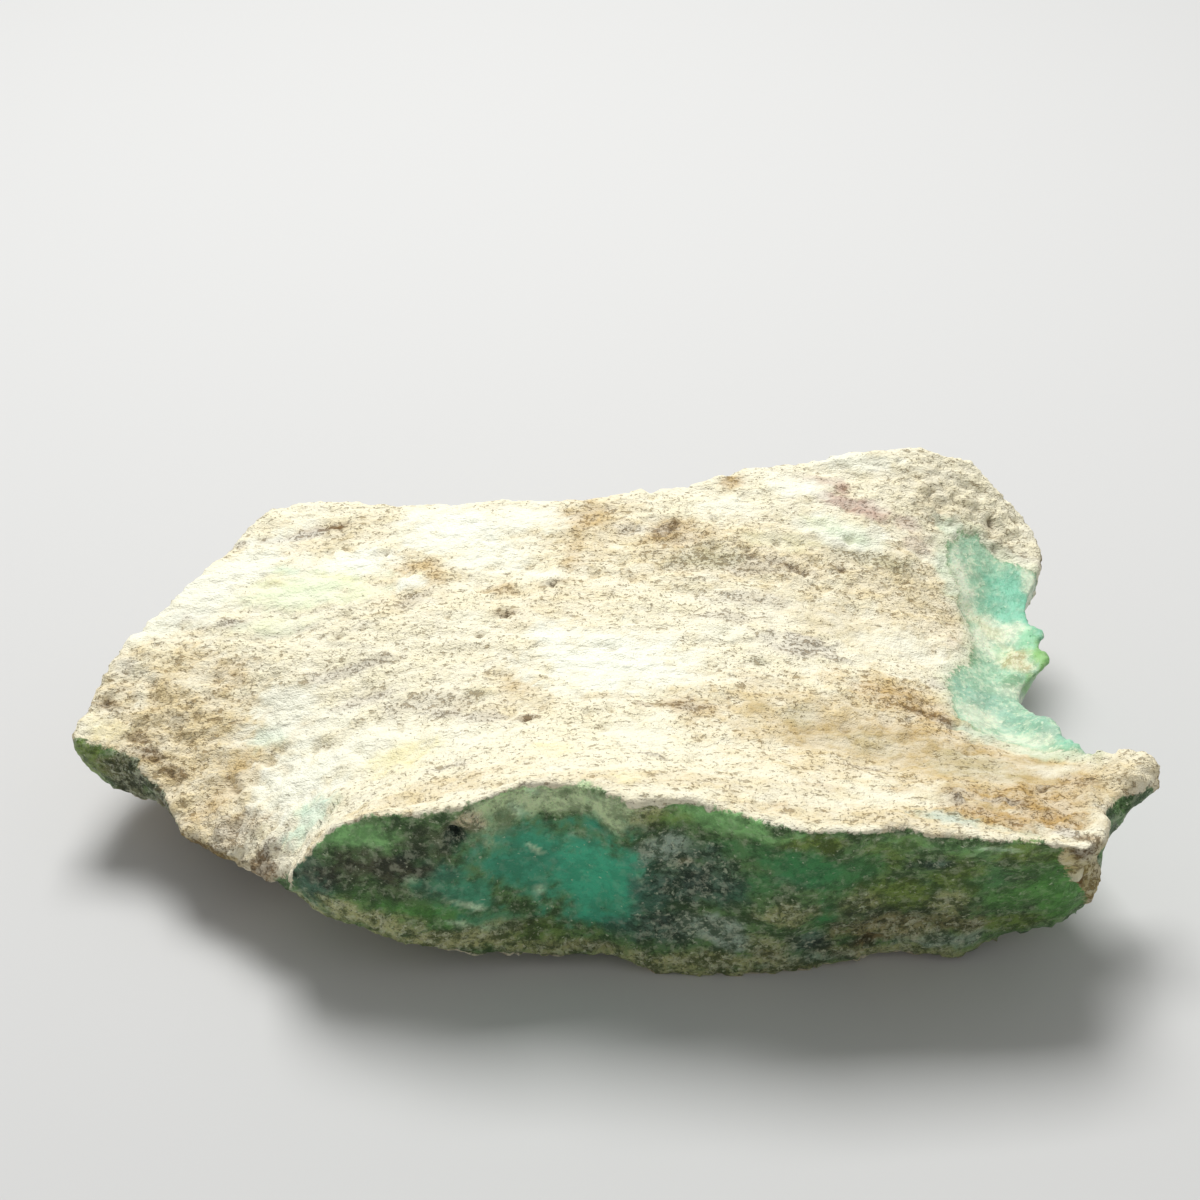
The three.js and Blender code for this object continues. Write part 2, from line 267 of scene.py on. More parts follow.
# Stains of the crust: a name for the reader, their colour, how flecked they are, and spots of them
# on the top face. A spot is its middle along X and Y, its half-lengths, its turn in degrees and
# how strong it is.
CREAM = 0xF8F0D0
CREAM_FLECKS = 0.5
STAINS = [
    ("tan", 0xE2CB96, 0.6, [
        (-29, -3, 6, 6, 0, 0.8), (-26, -9, 5, 5, 30, 0.7), (24, -11, 9, 5, -15, 1), (14, -7, 9, 4, -5, 0.8),
        (25, 17, 6, 4.5, -20, 0.1), (10, 10, 13, 3.5, 0, 0.6), (22, 8, 6, 5, -20, 0.6),
        (16, -12, 7, 2.5, 0, 0.6), (-14, 7, 4, 3.5, 0, 0.4), (-1, 12.5, 4, 4, 0, 0.6),
        (-20, 13.5, 6, 2, 5, 0.4), (-6, -5, 3, 3.5, 0, 0.4), (32.5, -12.5, 4, 3, 0, 0.6),
        (21, -3.6, 6, 2.6, -15, 0.95), (18, -18.6, 10, 1.6, 0, 0.7), (-12, -16, 7, 1.6, 12, 0.7),
        (3, -16.6, 9, 1.2, 0, 0.6), (-30, 1, 3, 3, 0, 0.4), (-3, 4, 5, 3, 0, 0.3),
        (11.6, -16.2, 5, 2, 0, 0.45),
    ]),
    ("sand", 0xC8B07C, 0.25, [
        (24, -10.2, 8, 3, -15, 1), (16.5, -8, 7, 2.4, -8, 0.9), (28, -12, 4, 2, -10, 0.8),
        (26, -15.4, 5.5, 2.4, -5, 0.9), (16.5, 4, 5, 2.4, -10, 0.3), (-24, -6, 3, 2.4, 20, 0.4),
    ]),
    ("ochre", 0xC9A767, 0.62, [
        (-1.6, 13.6, 2.4, 1.4, 0, 0.65), (5, 11.8, 2.2, 1.5, 20, 0.6), (21, -4, 4.5, 1.8, -18, 0.8),
        (27, -14.6, 4.4, 2, -5, 0.8), (-13.2, 9, 1.7, 0.9, 0, 0.6), (-26, 0.2, 1.6, 1.2, 0, 0.3),
        (5.4, -6.3, 2.6, 0.9, -8, 0.6), (30.3, -12, 1.2, 0.9, 0, 0.8), (25, 17, 3.5, 2, -20, 0.1),
        (-25, -8.2, 1, 3.2, -30, 0.4), (-26.4, -9.8, 1.4, 0.9, 0, 0.5), (9.2, 17, 0.9, 0.5, 0, 0.8),
        (18.4, -15, 1, 0.6, 0, 0.6), (-7.4, 6, 1.4, 0.8, 0, 0.6), (-5.8, -4, 1.3, 1.3, 0, 0.4),
        (-2.3, 9.4, 0.8, 2.6, -10, 0.45), (0, -5.6, 2, 0.6, 0, 0.3), (13.6, -15.4, 1.2, 0.5, 0, 0.6),
        (20.6, -6.6, 3, 1, -10, 0.4), (-12, 7.6, 0.8, 1.2, 0, 0.5), (24.6, -8.4, 3, 1.2, -15, 0.3),
    ]),
    ("orange", 0xC8A462, 0.6, [
        (24, -17.4, 3, 1.4, -5, 0.95), (27, -16.6, 2.8, 1.3, -5, 0.9), (4.4, 12.6, 1.1, 0.6, 20, 0.4),
        (10.8, -18, 0.7, 0.4, 0, 0.6), (29.8, -13, 1.4, 1.2, 0, 0.5), (21.6, -17.6, 1.6, 0.7, 0, 0.5),
    ]),
    ("brown", 0x9A7E52, 0.75, [
        (-30.5, -5.4, 1.3, 0.6, -20, 0.8), (-34, -1.8, 1, 0.6, 0, 0.6), (-31.6, -4.2, 1.3, 0.6, -15, 0.6),
        (4.6, 12.3, 1.3, 0.5, 25, 0.7), (21.4, -4.9, 2, 0.45, -8, 0.8), (23.3, -5.5, 1.8, 0.4, -12, 0.75),
        (25.6, -15.3, 1.7, 0.45, 0, 0.8), (28.8, -13, 1.1, 0.4, 0, 0.8), (-3.8, 6.6, 1.2, 0.3, 8, 0.6),
        (-6.9, 3.2, 1.2, 0.35, 10, 0.5), (29.2, 16.3, 1.6, 0.7, -15, 0.15), (5.4, -6.3, 1.6, 0.45, -10, 0.6),
        (-22.2, -14.7, 1.4, 0.7, -25, 0.85), (29.6, -18.8, 0.8, 0.6, 0, 0.8),
        (13.4, 8.9, 1.8, 0.3, -15, 0.6), (24.8, 15.8, 0.9, 0.6, 0, 0.15), (-24.6, -11.4, 1.4, 0.7, 10, 0.5),
        (-20.8, 14.2, 2.2, 0.4, 8, 0.95), (-29, -6.5, 1.2, 0.6, -20, 0.6), (2.4, -6.3, 1, 0.3, 0, 0.5),
        (-24.6, 13.2, 1.6, 0.35, 5, 0.7), (24.9, -6.2, 1.2, 0.3, -20, 0.6), (16.8, 9.3, 0.6, 0.4, 0, 0.5),
        (21.9, -14.6, 0.9, 0.35, 10, 0.6), (-5, -7.7, 0.9, 0.5, 0, 0.8), (21.8, -15.9, 0.9, 0.55, 0, 0.7),
    ]),
    ("rose", 0xC2A08E, 0.55, [
        (16, 17.2, 2, 0.6, -5, 0.6), (16.9, 15.6, 1.5, 0.8, -10, 0.9), (19.6, 14.8, 2, 0.8, -10, 0.9),
        (22, 14.2, 1.4, 0.7, -10, 0.6), (25, 4.6, 1, 1, 0, 0.3), (22.6, 12.7, 1, 0.7, 0, 0.4),
        (17.6, 16.6, 0.7, 0.9, 0, 0.8),
    ]),
    ("grey", 0xCCC4B4, 0.72, [
        (-29.4, 5.8, 1.8, 0.6, 10, 0.8), (-26, 4.6, 1.7, 0.5, 0, 0.7), (-22.4, 3.4, 2.6, 0.4, 5, 0.6),
        (-17.4, -0.8, 3, 0.6, 8, 0.6), (-16.2, -3.8, 2.8, 0.6, 5, 0.6), (13.6, 0.8, 2.6, 1.3, -10, 0.7),
        (15.6, -0.1, 1.5, 0.4, -10, 0.6), (8, 3.3, 3, 0.7, 0, 0.5), (2.4, 12.4, 2, 0.5, 0, 0.5),
        (-23, 13.4, 3.4, 0.5, 5, 0.8), (-15.3, 14.2, 1.4, 0.5, 0, 0.6), (-13.4, 5, 1.6, 1, 0, 0.5),
        (-10.8, -6.3, 1.4, 0.5, -20, 0.6), (-8, -7.2, 1.4, 0.6, 0, 0.6), (29.6, 14.9, 2.3, 0.9, -12, 0.35),
        (23, -0.6, 0.9, 0.7, 0, 0.6), (-33.3, 1, 1, 0.8, 0, 0.4), (28.4, -18.6, 1.2, 0.6, 0, 0.8),
        (-9.8, -12.4, 1.6, 0.5, 0, 0.5), (-24, -12, 2, 1.1, 10, 0.45), (3.2, -13, 1.1, 0.3, -25, 0.7),
        (16.9, -11.6, 1.4, 0.6, 0, 0.5), (-20.8, -13.8, 0.9, 0.6, 0, 0.8), (10.4, 8.8, 3, 1, 0, 0.5),
        (-11.4, -5, 3.6, 1.2, -8, 0.4), (9.4, 5.4, 3.6, 0.8, 0, 0.4), (-27.6, 7.6, 1.4, 0.4, 30, 0.5),
        (21.8, -16.3, 0.5, 0.3, 0, 0.6),
    ]),
    ("olive", 0xC8C29C, 0.75, [
        (7, 9.4, 2.4, 1.3, 0, 0.7), (24, -10.6, 3, 2, -10, 0.5), (19, 10.8, 4.4, 1, -8, 0.7),
        (-23.8, 8.8, 0.7, 1, 0, 0.7), (-8.4, -4.6, 0.9, 0.8, 0, 0.5), (12.6, -6.4, 1.6, 0.9, 0, 0.5),
        (10.4, -1.2, 0.7, 0.5, 0, 0.7), (17.4, -8.6, 2.4, 1, 0, 0.4),
    ]),
    ("chalk", 0xFCFDEA, 0.16, [
        (0.5, -1.8, 5.4, 3.4, 0, 1), (-3.4, 1, 2, 1.4, 0, 1), (-11, 13, 4, 2.6, 0, 1),
        (-6, 13.5, 3, 2, 0, 0.8), (-18.6, 10, 3.4, 1.5, 3, 1), (-27.5, 9, 2.2, 7, -42, 0.8),
        (-13.8, 6.9, 1.2, 0.8, 0, 1), (-8.4, 9.6, 3, 1.6, 0, 0.8), (-22, -3.4, 2.6, 2, 10, 0.8),
        (-20, -9.5, 3.4, 3, 0, 0.85), (-14, -16.6, 5, 1.3, 15, 0.1), (-4, -15.6, 5, 1.2, 5, 0.2),
        (12.6, -16.4, 5.4, 2.4, -4, 0.2), (16, -14.6, 3, 1, 0, 0.15), (14.2, 16.4, 2.4, 1.2, 0, 0.8),
        (17.5, 12.4, 3.2, 1.3, -8, 0.85), (21.2, 2.8, 3.4, 1.8, -10, 0.5), (2.6, -9.8, 2.4, 2.4, 0, 0.4),
        (-9, -9.2, 4, 1.4, 5, 0.4), (29, -10.8, 1.6, 1, 0, 0.4), (19.4, 19.2, 3.4, 0.9, 0, 0.7),
        (30.6, -15.6, 0.9, 2.6, 0, 0.2), (8.4, 1.4, 1.7, 0.8, 0, 0.5), (-19, -5, 3, 1.2, 5, 0.5),
        (-28, 0, 1.6, 1, 0, 0.3), (-16, -8.5, 4, 2, 5, 0.6), (-4.4, 7.6, 1.8, 1, 0, 0.6),
        (8.4, 14.6, 2, 0.9, 0, 0.6), (-9.6, 2.4, 1.6, 1, 0, 0.3),
    ]),
    ("lime", 0xEAF4CE, 0.12, [
        (-21, 7.4, 4.2, 2, 8, 0.95), (-17.6, 6.3, 2.4, 1, 5, 0.6), (12.6, 11.4, 3, 0.9, 0, 0.3),
        (-23, 4.2, 3, 1, 0, 0.5), (16.4, 12.6, 3, 1, -8, 0.5),
    ]),
    ("mint", 0xCBEAD2, 0.12, [
        (-19, -13.2, 1.5, 1.6, 0, 0.75), (-23, 9.6, 1.2, 0.6, -20, 0.5), (17.6, 12.2, 2.4, 0.7, -8, 0.2),
        (26.2, 14.9, 1.9, 0.7, -20, 0.5), (24.9, 11.4, 0.8, 2.2, 0, 0.5),
        (24.6, -6, 1.5, 0.8, -20, 0.6), (29.6, -8.6, 2.5, 0.7, -20, 0.5), (-22.6, -5, 1.2, 0.9, 0, 0.4),
    ]),
    ("sea", 0xB8CCB8, 0.5, [(21, -18.6, 1.8, 0.8, -5, 0.9), (25.4, -19, 2, 0.5, -5, 0.4)]),
    ("yellow", 0xF4EAB0, 0.2, [
        (-13.2, -10, 2.4, 1.4, 5, 0.7), (-3.2, -12.3, 1.5, 1, 0, 0.5), (1.3, -16.6, 0.9, 0.8, 0, 0.7),
        (-23.5, 8.9, 0.8, 1, 0, 0.4), (-19.4, 8.6, 1.6, 0.4, -15, 0.4), (-34, -3.8, 1.6, 1, 0, 0.4),
    ]),
]
# The crust where it thins out over the green stone at the scoop.
THIN_CRUST = 0xD3DFC0
THIN_FLECKS = 0.3
THIN_STRENGTH = 0.6
# The crust of the sides and the underside, which the photograph shows only along their edges: a
# name, the colour and how flecked it is.
SIDE_CRUST = [("earth", 0xBDA76A, 0.7), ("dun", 0x9C8757, 0.85), ("bone", 0xDDCF98, 0.5)]
# Stains of it at the right front corner: middle, radius, colour and how flecked they are.
CORNER_STAINS = [
    ((30.2, -18.4, 9), 4.5, 0xC8BA7C, 0.7), ((29.4, -20, 12.8), 1.4, 0x7A6238, 0.8),
    ((29.3, -18.9, 9.6), 0.9, 0xE8E2BC, 0.2), ((30.2, -18, 8.2), 0.8, 0x8A7040, 0.8),
]

# Colours of the broken chalcedony on the front, as they look there in the shade, and how gritty
# they are, with spots along X and Z. The shade is how much of the light on the top gets there.
SHADE = 0.43
LEAF = 0x4C663E
LEAF_GRIT = 0.45
FRONT_ZONES = [
    ("grass", 0x68925A, 0.2, [
        (-15.6, 12.4, 3.6, 1, 0, 0.9), (6.6, 14.8, 4, 1, -6, 1), (24.4, 13, 3.4, 0.8, 0, 0.6),
        (11.4, 14, 2.6, 0.7, 0, 0.8), (18.4, 13.4, 2.6, 0.8, 0, 0.6),
    ]),
    ("olive", 0x5A6A2B, 0.38, [
        (13, 13.8, 2, 0.8, 0, 0.9), (26, 12.6, 2.6, 1.4, 0, 0.8), (17.4, 12.4, 1.6, 2, 0, 0.6),
        (22, 10, 2, 2.4, 0, 0.7), (18.4, 8.4, 3, 2.2, 0, 0.8), (3, 14.6, 2, 1, 0, 0.7),
        (26, 4, 3, 1.2, 0, 0.7), (-5, 3.6, 5, 1, 0, 0.5), (-35, 7, 2, 3, 0, 0.9),
    ]),
    ("sage", 0x9CAA84, 0.3, [
        (-4.8, 15, 4, 1.4, 0, 0.9), (-0.2, 15.2, 2.8, 1.8, -8, 0.95), (-7, 13.4, 1.8, 1.6, 0, 0.6),
        (-2.6, 16.2, 2.6, 0.7, 5, 0.9),
    ]),
    ("teal", 0x2E735A, 0.08, [
        (-0.8, 8.8, 4.2, 4.6, 0, 1), (-4.8, 10.2, 4, 3, 0, 0.95), (-9, 8, 2.8, 2.4, 0, 0.8),
        (-7.6, 4.8, 2.6, 1.2, 0, 0.5), (11.8, 11, 2, 1.4, 0, 0.5),
    ]),
    ("bright_teal", 0x328466, 0.05, [(-0.6, 8.8, 2.8, 3.4, 0, 0.95), (-3.8, 11.8, 2.4, 0.8, 0, 0.5)]),
    ("dark_teal", 0x2E4E40, 0.3, [
        (-18.4, 8.2, 1.6, 2.6, 0, 0.85), (3, 7.4, 1.4, 2.6, 0, 0.9), (-10.6, 9.6, 1.4, 1.2, 0, 0.5),
        (1.6, 4.4, 1.6, 1.2, 0, 0.7), (7.6, 8.6, 1.4, 1.6, 0, 0.8),
    ]),
    ("emerald", 0x2C6236, 0.2, [
        (12, 11.6, 3, 1.6, 0, 0.9), (15.2, 10.4, 2, 2.6, 0, 0.7), (8.8, 12.6, 2, 1, 0, 0.6),
        (24, 9.4, 1.6, 1.6, 0, 0.5), (14, 6.4, 1, 2.2, 0, 0.9), (10, 10, 1.4, 1.4, 0, 0.6),
    ]),
    ("leaf_green", 0x427032, 0.22, [
        (-12, 6, 3.4, 1.4, -10, 0.8), (-16, 7, 1.6, 1, 0, 0.5), (28.6, 8, 2.6, 2.8, 0, 0.95),
        (25.8, 6.8, 2, 1.6, 0, 0.7), (29.8, 5, 1.6, 1.6, 0, 0.8), (26.8, 10.6, 1.6, 1, 0, 0.4),
    ]),
    ("umber", 0x3A3A2A, 0.42, [
        (-14.4, 9.6, 4.2, 1.6, 5, 0.95), (-11, 12, 2.2, 1.6, 0, 0.7), (-9.4, 13.2, 0.9, 1.1, 0, 0.8),
        (2.6, 13.6, 1.2, 0.7, 0, 0.5), (-12, 8, 3, 1.2, 0, 0.4), (17.6, 5.4, 3, 2, 0, 0.6),
        (-5.6, 4.6, 1.4, 0.8, 0, 0.5), (21, 5, 3, 2, 0, 0.5),
    ]),
    ("charcoal", 0x506356, 0.75, [
        (5, 9.8, 2.2, 2.6, 20, 0.85), (3.8, 4.6, 1.8, 2.4, 0, 0.85), (7, 10, 1.4, 1.6, 0, 0.6),
        (13.2, 3.4, 1.8, 1.5, 0, 0.8), (20.4, 11.5, 1.3, 0.45, 0, 0.9), (-9.4, 12.6, 0.55, 0.5, 0, 0.9),
        (4.4, 10.6, 0.6, 0.5, 0, 0.8), (16.2, 1.4, 1.8, 0.8, 0, 0.7),
    ]),
    ("coal", 0x22302B, 0.5, [
        (5.6, 9, 1.1, 1, 30, 0.6), (3.4, 5.8, 0.8, 0.7, 0, 0.6), (13.6, 3, 0.9, 0.7, 0, 0.6),
        (-9.4, 12.7, 0.5, 0.5, 0, 1), (-12.4, 11, 1.2, 0.4, 30, 0.5),
    ]),
    ("ash", 0x8A988A, 0.7, [
        (3.6, 12, 1.4, 0.9, 0, 0.8), (6.6, 4.8, 2, 1.4, 0, 0.8), (8.2, 3.6, 1.6, 1, 0, 0.8),
        (21.8, 2.8, 3, 1, 0, 0.7), (12.6, 1.4, 3, 0.7, 0, 0.6), (24.2, 3.2, 0.9, 0.6, 0, 0.5),
    ]),
    ("straw", 0x939368, 0.8, [
        (11.6, 7, 2, 1.2, 0, 0.8), (21.8, 7, 1.4, 1.4, 0, 0.7), (-15, 5.2, 3.6, 1.2, -15, 0.9),
        (-9.6, 3.4, 4, 1.2, 0, 0.9), (-2.4, 2.2, 4, 0.8, 0, 0.7), (-6.6, 4.2, 1.6, 0.9, 0, 0.5),
        (6, 1.6, 6, 0.9, 0, 0.85), (10.4, 3.2, 1.6, 1.4, 0, 0.7), (17.6, 1.4, 1.6, 0.6, 0, 0.8),
        (16, 7.8, 1.6, 1.2, 0, 0.5), (19, 3.4, 2.4, 1, 0, 0.6), (20, 0.8, 6, 0.9, 0, 0.7),
        (2.4, 15.2, 1.2, 0.9, 0, 0.8), (-18.6, 4.6, 3, 1.2, -20, 0.8), (-13, 2.4, 4.5, 1.3, -18, 0.9),
        (-5, 0.8, 6, 1.1, 0, 0.85), (4, 0.2, 8, 1, 0, 0.85), (13, 0.2, 5, 0.9, 0, 0.8),
    ]),
    ("needle", 0x9DB294, 0.3, [
        (-8.6, 6.6, 1.4, 0.26, -24, 0.9), (-4.4, 10.9, 0.7, 0.2, -45, 0.9), (-5.5, 14.4, 0.8, 0.22, -50, 0.8),
        (-4.4, 15.6, 0.6, 0.22, -40, 0.8), (-4.2, 7.4, 0.4, 0.5, 0, 0.8), (-9.4, 5, 0.9, 0.24, -15, 0.6),
        (-1.8, 12.4, 0.6, 0.2, 30, 0.4), (2.2, 9.2, 0.5, 0.2, -60, 0.4), (24, 13.2, 1.6, 0.2, -12, 0.8),
        (-12.4, 9, 0.5, 0.3, 0, 0.5), (-7.6, 4.4, 0.7, 0.24, -20, 0.6),
    ]),
    ("blush", 0xB0A488, 0.9, [
        (-8.5, 14.1, 0.8, 0.7, 0, 1), (-7.9, 13.6, 0.6, 0.5, 0, 0.9), (5, 10.7, 0.5, 0.25, 20, 0.8),
    ]),
    ("rust", 0x54462A, 0.5, [
        (17.2, 2.9, 1.3, 0.6, 0, 0.9), (-1.6, 2.4, 1.8, 0.5, 0, 0.3), (10.4, 2.4, 0.9, 0.5, 0, 0.4),
    ]),
    ("bark", 0x565138, 0.9, [(-32.2, 6, 2, 4, 0, 0.8), (-29.6, 4.6, 1.8, 3.4, 0, 1)]),
    ("tan", 0x8A7C58, 0.9, [
        (18, 4.4, 3.6, 1.4, 0, 0.5), (23, 4.4, 2, 1.4, 0, 0.5), (15.6, 2, 1.6, 0.8, 0, 0.4),
    ]),
]

# Down the wall of the notch the spots of the scoop wander along Y, ever more between these heights.
SCOOP_DRIFT = 6
SCOOP_DRIFT_BETWEEN = (9, 5)
# Colours of the fresh scoop as they look there, and how frosted they are, with spots along X and Y.
SCOOP_SHADE = 0.88
JADE = 0xA0C6A8
JADE_FROST = 0.6
SCOOP_ZONES = [
    ("turquoise", 0x7EC2A4, 0.15, [
        (30, 10.6, 2.2, 3, -10, 0.95), (31.2, 8.2, 1, 2.4, 0, 0.8), (31.2, -7, 2, 1.2, -40, 0.95),
    ]),
    ("frost", 0xE0E6CE, 0.85, [
        (26, 10.4, 1.2, 3.4, 0, 0.9), (31.4, 12.6, 0.6, 1.4, 0, 0.7), (28.4, 8.2, 1.8, 0.9, -20, 0.8),
        (28, -7.2, 2.4, 0.6, -30, 0.9), (27, 6.4, 1.6, 2, 0, 0.9), (25.8, -2.6, 2.2, 2, 0, 0.7),
        (27.6, -5.4, 2.6, 1, -20, 0.7), (28.6, 0.8, 1.4, 0.8, 0, 0.5),
    ]),
    ("mint", 0x90CCA2, 0.3, [(30.6, 6.4, 1, 1.4, 0, 0.8), (28.4, 5.4, 0.8, 1, 0, 0.4)]),
    ("lime", 0x8CBA76, 0.2, [(31.6, 4.4, 1.2, 2, 0, 1), (30.2, 2.2, 0.8, 0.8, 0, 0.7)]),
    ("moss", 0x5E8A5C, 0.4, [(28.6, 1.9, 0.9, 0.9, 0, 0.6), (26, 4.4, 0.7, 2, 0, 0.5)]),
    ("cream", 0xC2BA8E, 0.95, [(29.2, 4.6, 1, 1.6, 15, 0.95), (27.6, 8, 1.8, 0.7, -30, 0.5)]),
    ("aqua", 0x8CBAA4, 0.5, [
        (26.5, -0.8, 2.2, 1.2, -15, 0.7), (29, -3.4, 2, 1.6, 0, 0.7), (30, -5.6, 2, 1, -30, 0.5),
    ]),
]

# Where the crust is coarse and granular, as spots of the top face.
COARSE = [
    (-31, -3, 4.5, 6, 0, 1), (-23.5, -12.5, 4.5, 3.5, -30, 1), (26.5, 16.5, 6, 3.5, -20, 0.7),
    (21.5, -4.5, 5, 1.6, -10, 0.9), (26, -16, 5.5, 2.6, -5, 0.9), (5, 11.5, 5, 3, 10, 0.8),
    (32.5, -13, 3.5, 3, 0, 0.8), (-13, 8.5, 3, 2, 0, 0.6), (12, 9.5, 5, 2, -10, 0.6),
    (-27, -8, 3, 4, 0, 0.8),
]
# Knobs that stand out to all sides, and dents: middle, radius and height or, below zero, depth.
KNOBS = [
    (34.2, -11.2, 11.6, 2.2, 0.9), (35.8, -13, 9.4, 2, -0.75), (29.2, 4.5, 9, 1.2, 0.3),
    (30.2, -4.4, 10, 2, 0.35), (31.3, -7.4, 11, 2, 0.6), (31.8, 7.2, 8.8, 1.3, 0.5),
    (31.9, 4.4, 9, 1.2, 0.5), (30.4, 1.8, 8.2, 1.6, -0.8), (-29.8, -8.4, 4, 2, 0.4),
    (-35.9, -4.6, 7.6, 2.2, 0.4), (-24, -14.6, 5.4, 3, -0.3), (-9.4, -18.8, 12.9, 0.8, -0.9),
    (31, -17.6, 9.4, 2.2, -0.9), (36.6, -11.4, 11, 1.5, -0.5), (29.9, -18.6, 9.4, 0.8, 0.4),
    (-8.2, -18.9, 14, 0.8, 0.35), (-22.6, -14, 7.6, 0.9, 0.3), (17.2, -17.8, 3, 0.8, -0.4),
]
# Small hollows of the top face, darkened with painted shade: middle along X and Y, radius and depth.
HOLLOWS = [
    (-5.05, -7.9, 0.34, 0.47), (-6.85, 3.1, 0.25, 0.59), (4.8, 12.4, 0.41, 0.34), (4.1, 11.7, 0.33, 0.34),
    (-3.7, 6.4, 0.29, 0.42), (17, 9.3, 0.33, 0.42), (33.3, -13.6, 0.33, 0.42), (-30.5, -5, 0.41, 0.34),
    (21.4, 12, 0.25, 0.26), (-8.6, 1.1, 0.29, 0.42), (9.3, 10.8, 0.29, 0.34), (10.2, 10.1, 0.29, 0.34),
    (12.4, 11.2, 0.25, 0.34), (14.2, 8.4, 0.29, 0.34), (-19.8, 2.4, 0.25, 0.26), (-18.5, 2.3, 0.29, 0.34),
    (25.6, -15.4, 0.41, 0.34), (28.9, 17, 0.33, 0.42), (6.5, 5.7, 0.25, 0.26), (-34.2, -1.6, 0.41, 0.34),
    (0.2, 12.4, 0.29, 0.26), (20.2, -5.8, 0.33, 0.3), (23.2, -5.7, 0.37, 0.38), (5.7, -6.4, 0.33, 0.26),
    (3.9, 7.6, 0.25, 0.26), (-10.9, 2.9, 0.25, 0.34), (-16.8, 2.7, 0.25, 0.26), (-15.7, 10.8, 0.25, 0.42),
    (24.6, -6.1, 0.29, 0.3), (21.5, -5, 0.33, 0.3), (-7.5, 5.9, 0.29, 0.26), (13.4, 9.2, 0.25, 0.26),
    (28, -13.2, 0.33, 0.34), (21.9, -16.6, 0.33, 0.26), (-31.3, -4.4, 0.33, 0.34), (-29.2, -6.6, 0.33, 0.34),
]
# Painted shade in the hollows: a dark brown, how flecked it is and how strong.
HOLLOW_SHADE = 0x7A684C
HOLLOW_SHADE_FLECKS = 0.6
HOLLOW_SHADE_STRENGTH = 0.75
# Lumps of the top face: middle along X and Y, radius and height.
LUMPS = [
    (21.8, -15.9, 0.55, 0.55), (33.6, -12.4, 1.6, 0.3), (-13.6, 6.7, 0.9, 0.3), (-23, -12.6, 0.8, 0.4),
    (-21.4, -13.6, 0.7, 0.4), (31, -14.4, 0.8, 0.3), (-5.05, -7.9, 0.8, 0.25), (26, 9.6, 0.7, 0.3),
    (-25.2, -10.6, 0.9, 0.3), (24.2, 4, 1.2, 0.45), (29.2, 5, 0.6, 0.3), (28.8, 3.9, 0.5, 0.25),
]

# How the edges of the green breaks wander: the height, width and seed of each wobble.
EDGE_WOBBLES = [(0.5, 2.2, 3), (0.22, 0.7, 4)]
# Around the scoop only this share of the distance from the edge counts, so the crust thins slowly.
FROSTED_SHARE = 0.25
# The faces that look down are crusted, even below the breaks.
UNDERSIDE_TILT = 0.94
UNDERSIDE_GAIN = 9

# The relief of the crust. Its grain has one height where it is fine and one where it is coarse,
# and it stands out less beside the scoop than elsewhere.
CRUST_RISE = 0.22
CRUST_RISE_AT_SCOOP = 0.05
LUMP_HEIGHT = 0.32
LUMP_WIDTH = 3.4
CRUST_GRAIN_HEIGHTS = (0.28, 0.75)
CRUST_GRAIN_WIDTH = 1.2
SIDE_COARSENESS = 0.5  # from 0 for fine to 1 for coarse
TERRACE_HEIGHT = 0.3
TERRACE_LEVELS = 3
TERRACE_WIDTHS = (5, 1.3, 1.3)
PIT_DEPTH = 0.35
PIT_SPACING = 1.6
PIT_SEED = 31
# The relief of the green breaks, which lie a little deeper. Their grain has one height where they
# are smooth and one where they are gritty.
BREAK_SINK = 0.12
BREAK_WAVE_HEIGHT = 0.35
BREAK_WAVE_WIDTH = 5
BREAK_GRAIN_HEIGHTS = (0.08, 0.42)
BREAK_GRAIN_WIDTH = 0.9

# How many steps along the mesh a vertex looks around, and how soon it counts as a hollow.
# The crust is darkened in these hollows with painted shade.
CAVITY_STEPS = 12
CAVITY_GAIN = 4

# A spot of colour fades between these two shares of its half-length. Noise makes its edge ragged,
# with three patterns that the zones take in turn: how much and how wide, on the crust, on the
# front break and in the scoop.
SPOT_FADE = (1.35, 0.45)
RAGGED_SEEDS = (20, 25, 30)
STAINS_RAGGED = (1.5, (2.2, 1.3, 1.3))
FRONT_RAGGED = (1.5, 2)
SCOOP_RAGGED = (1.4, 1.5)
# The patches of the crust of the sides, and how strong the stains at its corner are.
SIDE_PATCHES = (14, 14, 5)
SIDE_RAGGED = (4, 4, 2.5)
CORNER_STRENGTH = 0.85


def coat(colour, amount):
    """The linear shares of a colour and, in a fourth column, how flecked or gritty it is."""
    return np.array([*linear(colour), amount])


def spot_field(across, up, spots, ragged):
    """The strongest of some soft spots at each point, from 0 to 1."""
    field = np.zeros(len(across))
    for x, y, long, wide, turn, strength in spots:
        cosine = math.cos(math.radians(turn))
        sine = math.sin(math.radians(turn))
        dx = across - x
        dy = up - y
        away = np.hypot((dx * cosine + dy * sine) / long, (dy * cosine - dx * sine) / wide)
        field = np.maximum(field, strength * smoothstep(*SPOT_FADE, away + ragged))
    return field


def painted(ground, zones, across, up, points, ragged):
    """A ground coat under soft spots of other coats, with edges that are broken up by noise."""
    paint = np.tile(ground, (len(points), 1))
    height, width = ragged
    uneven = [height * rough(points, width, seed, 5, 0.75) for seed in RAGGED_SEEDS]
    for turn, (_, colour, amount, spots) in enumerate(zones):
        field = spot_field(across, up, spots, uneven[turn % len(uneven)])
        paint = mix(paint, coat(colour, amount), field[:, None])
    return paint


